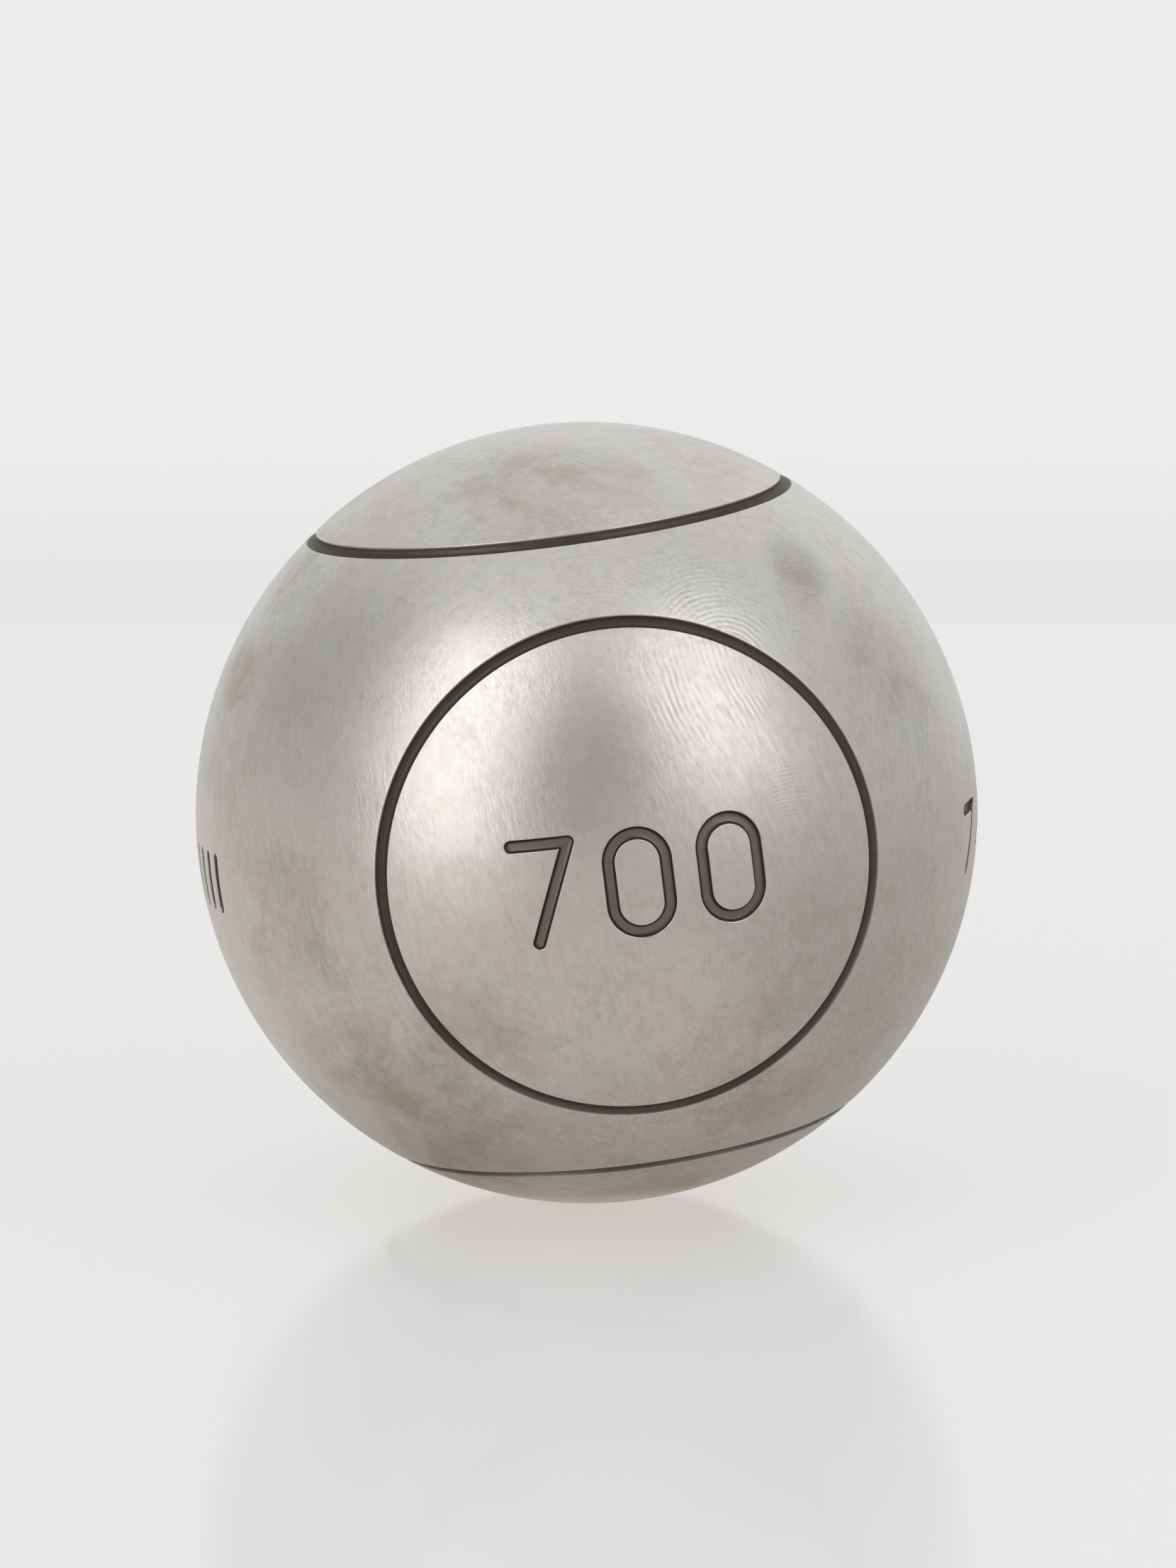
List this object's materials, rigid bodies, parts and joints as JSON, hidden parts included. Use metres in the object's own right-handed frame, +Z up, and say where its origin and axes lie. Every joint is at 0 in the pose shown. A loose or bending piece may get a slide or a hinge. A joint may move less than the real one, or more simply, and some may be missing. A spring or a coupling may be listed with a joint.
{
  "type": "petanque boule",
  "caption": "Hollow steel petanque boule: two welded half shells with engraved circular channels and plain engraved figures, for throwing and rolling on gravel.",
  "frame": {"origin": "centre of the ball", "axes": "+Y is the common axis of the front and back engraved circles and of the weld, and points to the back; +Z is up as the ball lies in the picture; +X is to the right seen from the front"},
  "size_m": [0.074, 0.074, 0.074],
  "materials": {
    "shell_steel": "satin, fine ground",
    "weld_steel": "satin, ground flush"
  },
  "bodies": {
    "root": {"front_half_shell": "shell_steel", "back_half_shell": "shell_steel", "weld_bead": "weld_steel"}
  },
  "joints": []
}
